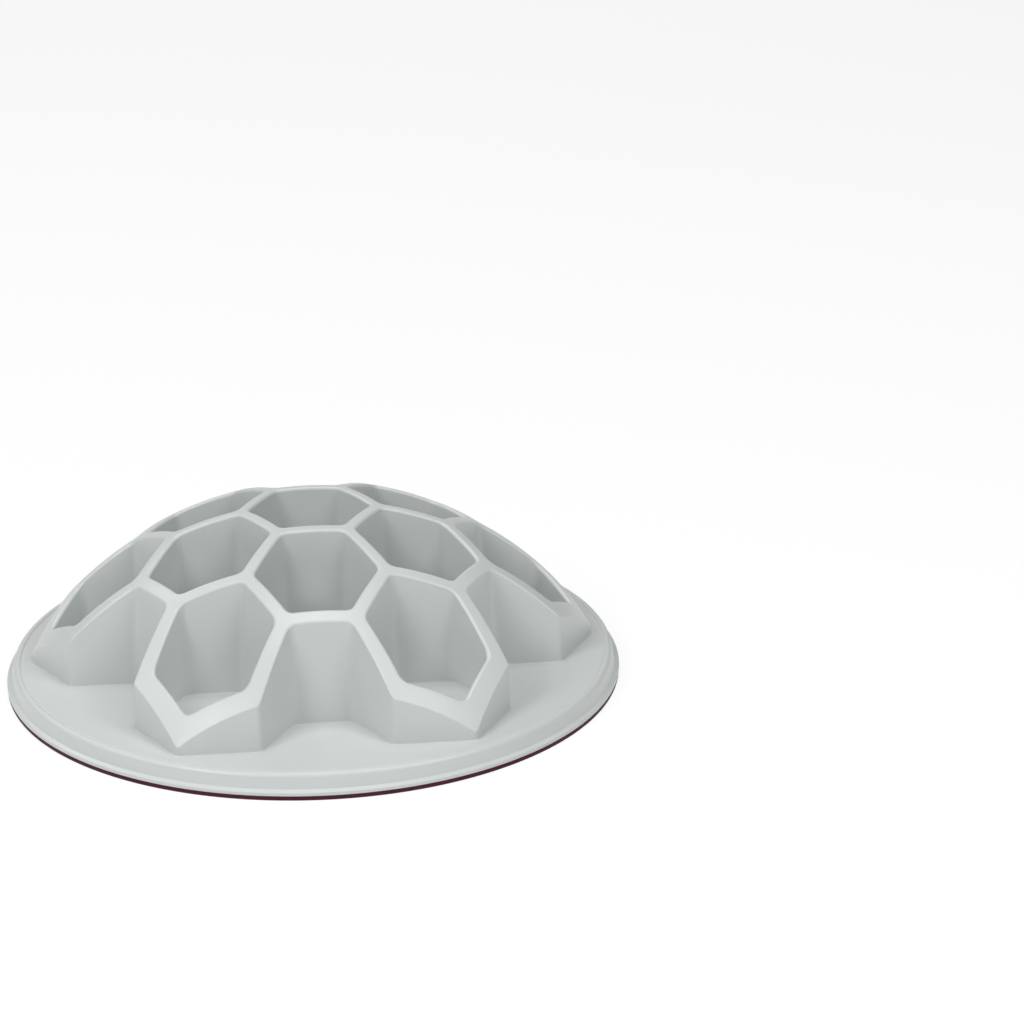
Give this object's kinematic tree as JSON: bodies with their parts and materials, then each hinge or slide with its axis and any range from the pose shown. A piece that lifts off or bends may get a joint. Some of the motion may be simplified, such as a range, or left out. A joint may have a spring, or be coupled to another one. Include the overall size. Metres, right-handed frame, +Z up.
{
  "type": "slow feeder bowl",
  "caption": "Round, low slow feeder bowl: a dome of open honeycomb cells on a shallow tray with a banded rim, standing on a dark rubber grip ring.",
  "frame": {"origin": "centre of the grip ring's foot, on the surface that the bowl stands on", "axes": "+Z up along the axis of the dome; the walls of the closed cells have their corners towards +X and -X, and -Y faces the viewer of the picture, with an open bay there"},
  "size_m": [0.2983, 0.2984, 0.0856],
  "materials": {
    "moulding": "pale grey-green moulded plastic, satin, with soft highlights on the wall tops",
    "grip": "dark burgundy rubber, dull"
  },
  "bodies": {
    "root": {"centre_cell": "moulding", "inner_cell_1": "moulding", "inner_cell_2": "moulding", "inner_cell_3": "moulding", "inner_cell_4": "moulding", "inner_cell_5": "moulding", "inner_cell_6": "moulding", "outer_cell_1": "moulding", "outer_cell_2": "moulding", "outer_cell_3": "moulding", "outer_cell_4": "moulding", "outer_cell_5": "moulding", "outer_cell_6": "moulding", "tray_and_rim": "moulding", "grip_ring": "grip"}
  },
  "joints": []
}
